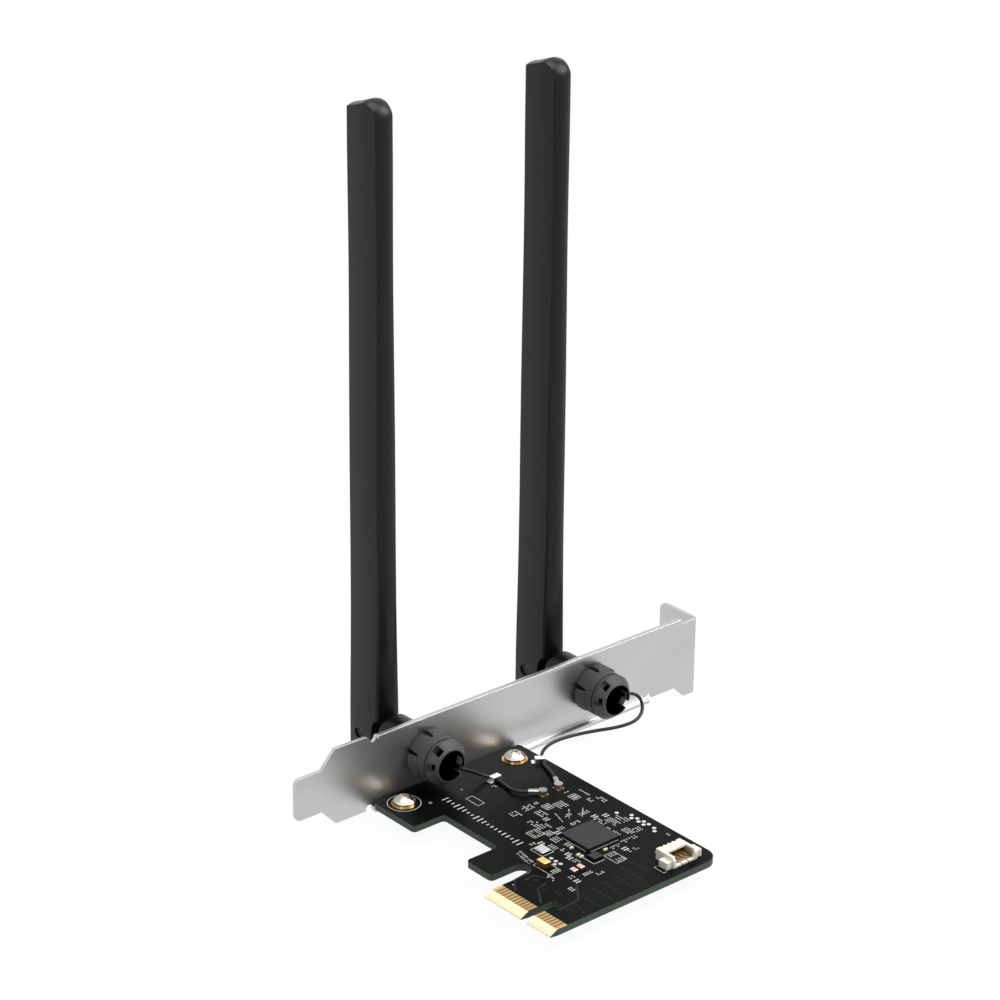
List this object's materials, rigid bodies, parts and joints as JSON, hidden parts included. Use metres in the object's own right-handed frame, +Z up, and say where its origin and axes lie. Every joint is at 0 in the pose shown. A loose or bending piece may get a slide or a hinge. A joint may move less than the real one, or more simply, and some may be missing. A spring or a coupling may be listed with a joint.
{
  "type": "wireless network expansion card",
  "caption": "Short edge-connector expansion card on a folded metal bracket, with tall flat antennas that swivel in the bracket and fold outwards.",
  "frame": {"origin": "edge connector: tip of the gold contacts, middle of the key notch, middle of the board's thickness", "axes": "+X along the bracket from its tongue to its screw tab and into the card from the contact tips, +Y out of the back of the computer through the bracket, +Z up from the component side of the board"},
  "size_m": [0.12, 0.0904, 0.1589],
  "materials": {
    "board": "black solder mask on glass-fibre board",
    "gold": "gold plating",
    "bracket_steel": "matt nickel-plated sheet steel",
    "screw_steel": "bright nickel plating",
    "chip_plastic": "moulded black epoxy",
    "crystal_metal": "satin metal lid",
    "tantalum": "moulded yellow resin",
    "bulk_capacitor": "pale orange ceramic",
    "small_capacitor": "cream ceramic",
    "header_plastic": "warm white nylon",
    "plug_metal": "tinned pressed metal",
    "clip_metal": "tinned strip",
    "lead_sheath": "satin black sheath",
    "collar_plastic": "satin black nylon",
    "ring_steel": "plain spring steel",
    "antenna_plastic": "satin black moulded plastic",
    "pin_plastic": "satin black nylon",
    "radiator_brass": "plain brass strip"
  },
  "bodies": {
    "card": {"circuit_board": "board", "edge_contacts": "gold", "bracket": "bracket_steel", "board_screws": "screw_steel", "screw_pads": "gold", "main_chip": "chip_plastic", "regulator_chip": "chip_plastic", "crystal": "crystal_metal", "tantalum_capacitor": "tantalum", "bulk_capacitors": "bulk_capacitor", "small_capacitors": "small_capacitor", "header_housing": "header_plastic", "header_pins": "gold", "coax_jack_left": "gold", "coax_plug_left": "plug_metal", "lead_clip_left": "clip_metal", "coax_lead_left": "lead_sheath", "lock_collar_left": "collar_plastic", "coax_jack_right": "gold", "coax_plug_right": "plug_metal", "lead_clip_right": "clip_metal", "coax_lead_right": "lead_sheath", "lock_collar_right": "collar_plastic"},
    "swivel_left": {"swivel_base_left": "antenna_plastic", "retaining_ring_left": "ring_steel"},
    "antenna_left": {"antenna_blade_left": "antenna_plastic", "hinge_pin_left": "pin_plastic", "radiator_left": "radiator_brass"},
    "swivel_right": {"swivel_base_right": "antenna_plastic", "retaining_ring_right": "ring_steel"},
    "antenna_right": {"antenna_blade_right": "antenna_plastic", "hinge_pin_right": "pin_plastic", "radiator_right": "radiator_brass"}
  },
  "joints": [
    {"name": "swivel_turn_left", "type": "hinge", "parent": "card", "child": "swivel_left", "pos_m": [0.02138, 0.05905, 0.00801], "axis": [0, -1, 0], "range_deg": [-8, 180]},
    {"name": "antenna_fold_left", "type": "hinge", "parent": "swivel_left", "child": "antenna_left", "pos_m": [0.02138, 0.07798, 0.00571], "axis": [-1, 0, 0], "range_deg": [0, 90]},
    {"name": "swivel_turn_right", "type": "hinge", "parent": "card", "child": "swivel_right", "pos_m": [0.071, 0.05905, 0.00801], "axis": [0, 1, 0], "range_deg": [-8, 180]},
    {"name": "antenna_fold_right", "type": "hinge", "parent": "swivel_right", "child": "antenna_right", "pos_m": [0.071, 0.07798, 0.00571], "axis": [-1, 0, 0], "range_deg": [0, 90]}
  ]
}
